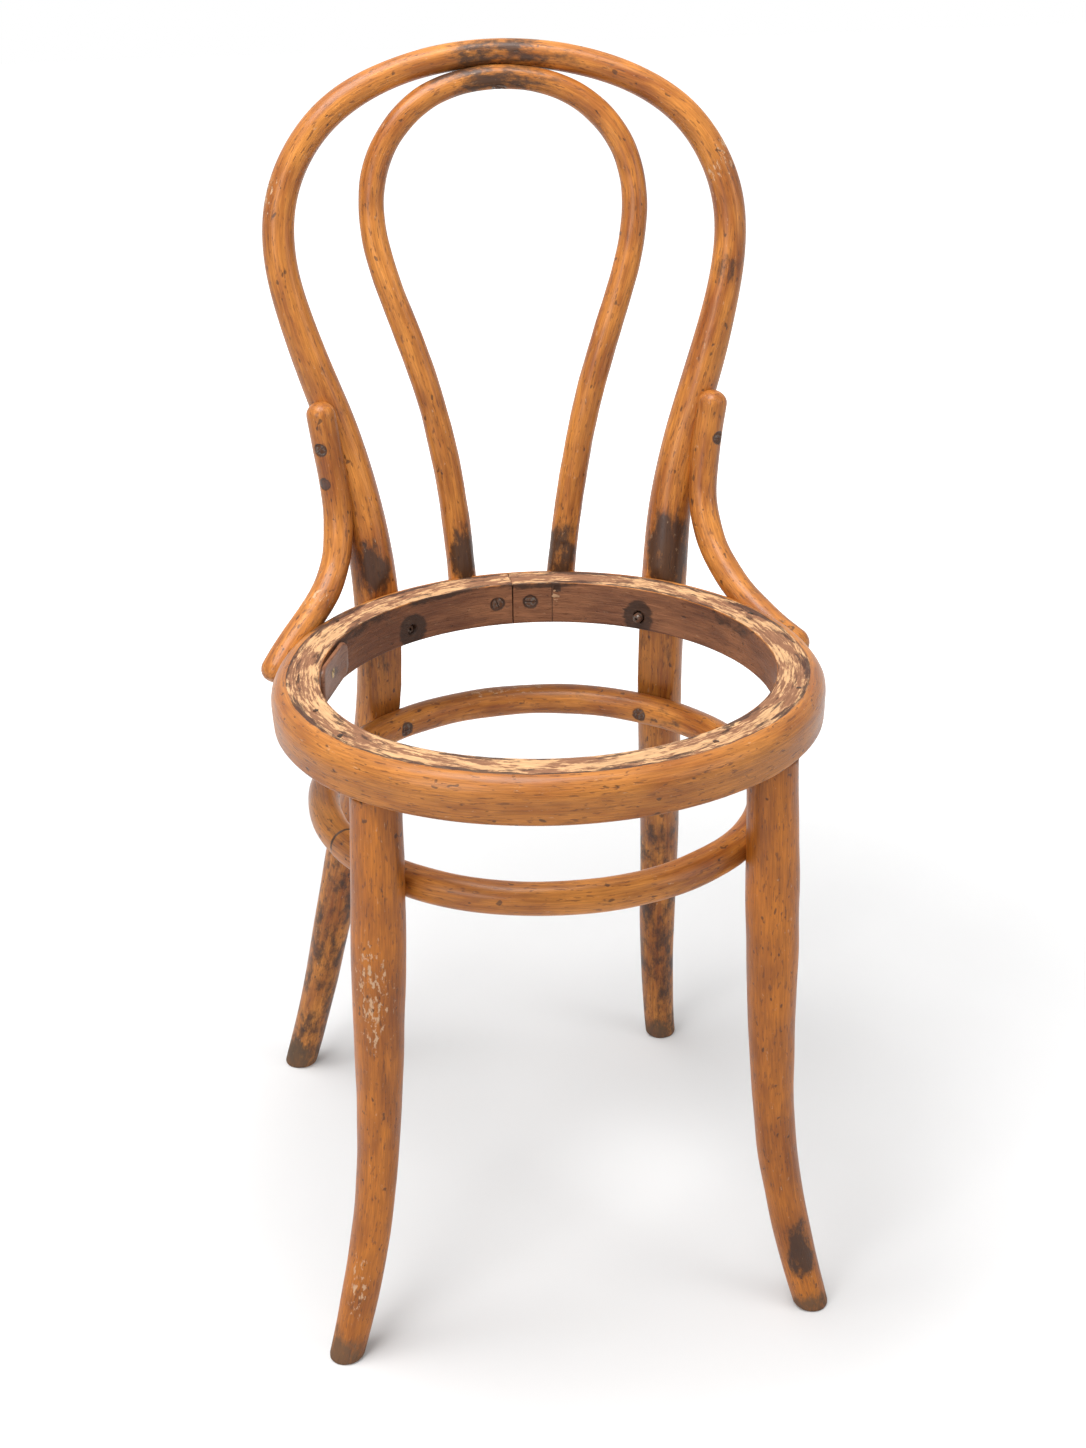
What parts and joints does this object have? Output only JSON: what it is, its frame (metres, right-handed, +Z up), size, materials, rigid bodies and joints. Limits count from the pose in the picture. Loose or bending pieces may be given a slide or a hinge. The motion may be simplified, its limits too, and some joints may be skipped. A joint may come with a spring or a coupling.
{
  "type": "bentwood bistro chair",
  "caption": "Wooden bistro chair with a bent round-rod back, inner loop, hip braces, oval seat ring without its panel, turned front legs and a leg ring.",
  "frame": {"origin": "on the floor, in the middle of the chair's bounding box", "axes": "+Z up, +Y towards the chair's back, +X to the right for a viewer who faces the chair's front"},
  "size_m": [0.4005, 0.4755, 0.8798],
  "materials": {
    "bent_frame_wood": "old brown shellac on bent beech, worn through at the edges and spotted",
    "turned_leg_wood": "old brown shellac on turned beech, scuffed",
    "seat_ring_wood": "old brown shellac with a bare, glue-stained top",
    "plug_wood": "dark oiled wood",
    "blackened_iron": "blackened iron with light rust",
    "dull_steel": "dull grey steel, slightly rusty",
    "old_brass": "dull brass",
    "patch_wood": "dark stained thin wood"
  },
  "bodies": {
    "root": {"back_bow": "bent_frame_wood", "brace_left": "bent_frame_wood", "brace_lower_screws": "dull_steel", "brace_plug": "plug_wood", "brace_right": "bent_frame_wood", "brace_upper_screws": "dull_steel", "crown_screw": "dull_steel", "front_leg_left": "turned_leg_wood", "front_leg_right": "turned_leg_wood", "inner_loop": "bent_frame_wood", "leg_ring": "bent_frame_wood", "leg_ring_pins": "blackened_iron", "leg_ring_screws": "dull_steel", "loop_foot_screws": "dull_steel", "patch_screw": "old_brass", "post_bolts": "dull_steel", "post_washers": "blackened_iron", "ring_patch": "patch_wood", "scarf_screws": "dull_steel", "seat_ring": "seat_ring_wood", "seat_tacks": "blackened_iron"}
  },
  "joints": []
}
